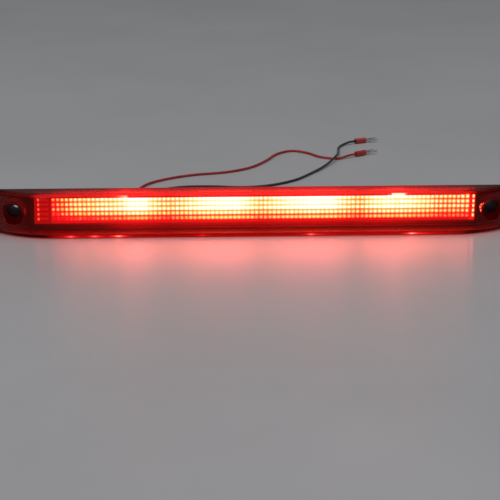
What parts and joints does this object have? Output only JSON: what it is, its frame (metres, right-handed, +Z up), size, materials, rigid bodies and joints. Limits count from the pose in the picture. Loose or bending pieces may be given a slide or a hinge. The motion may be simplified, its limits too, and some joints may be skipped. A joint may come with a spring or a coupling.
{
  "type": "third brake light",
  "caption": "Long slim red high-level stop lamp with swept ends, a pillowed LED light window, recessed screw holes in its ends and free supply leads.",
  "frame": {"origin": "under the middle of the lamp, on the plane that it stands on", "axes": "+X along the lamp's length, to the right as the lit face is looked at; -Y out of the lens front, +Y out of the mounting face; +Z up"},
  "size_m": [0.35, 0.2754, 0.031],
  "materials": {
    "lens_red": "clear deep red moulding, polished",
    "housing_black": "fine moulded texture, black",
    "bezel_grey": "satin dark grey moulding",
    "optic_clear": "clear moulding with small pillows, lit from behind",
    "reflector_silver": "metallised plastic",
    "board_green": "solder mask over glass fibre board",
    "led_white": "white moulded diode body",
    "led_red": "clear epoxy dome, lit",
    "solder": "bright tin solder",
    "component_black": "black epoxy with tinned ends",
    "capacitor_sleeve": "dark shrunk sleeve on a small can",
    "screw_steel": "zinc plated",
    "seal_grey": "cured sealant",
    "gasket_foam": "closed-cell foam",
    "sleeve_steel": "dark zinc",
    "grommet_rubber": "matt black rubber",
    "vent_grey": "dark grey plastic",
    "vent_white": "white breathing membrane",
    "wire_red": "red cable insulation",
    "wire_black": "black cable insulation",
    "terminal_tin": "tin plated copper",
    "terminal_sleeve_red": "red insulating sleeve"
  },
  "bodies": {
    "root": {"outer_lens": "lens_red", "rear_housing": "housing_black", "inner_bezel": "bezel_grey", "optic_plate": "optic_clear", "reflector_tray": "reflector_silver", "circuit_board": "board_green", "led_bodies": "led_white", "led_domes": "led_red", "led_solder_joints": "solder", "series_resistors": "component_black", "reverse_diode": "component_black", "filter_capacitor": "capacitor_sleeve", "board_screws": "screw_steel", "lens_seal": "seal_grey", "mounting_gasket": "gasket_foam", "mounting_sleeves": "sleeve_steel", "cable_grommet": "grommet_rubber", "vent_plug": "vent_grey", "vent_membrane": "vent_white", "wire_solder_joints": "solder", "positive_lead": "wire_red", "negative_lead": "wire_black", "positive_terminal": "terminal_tin", "negative_terminal": "terminal_tin", "positive_terminal_sleeve": "terminal_sleeve_red", "negative_terminal_sleeve": "terminal_sleeve_red"}
  },
  "joints": []
}
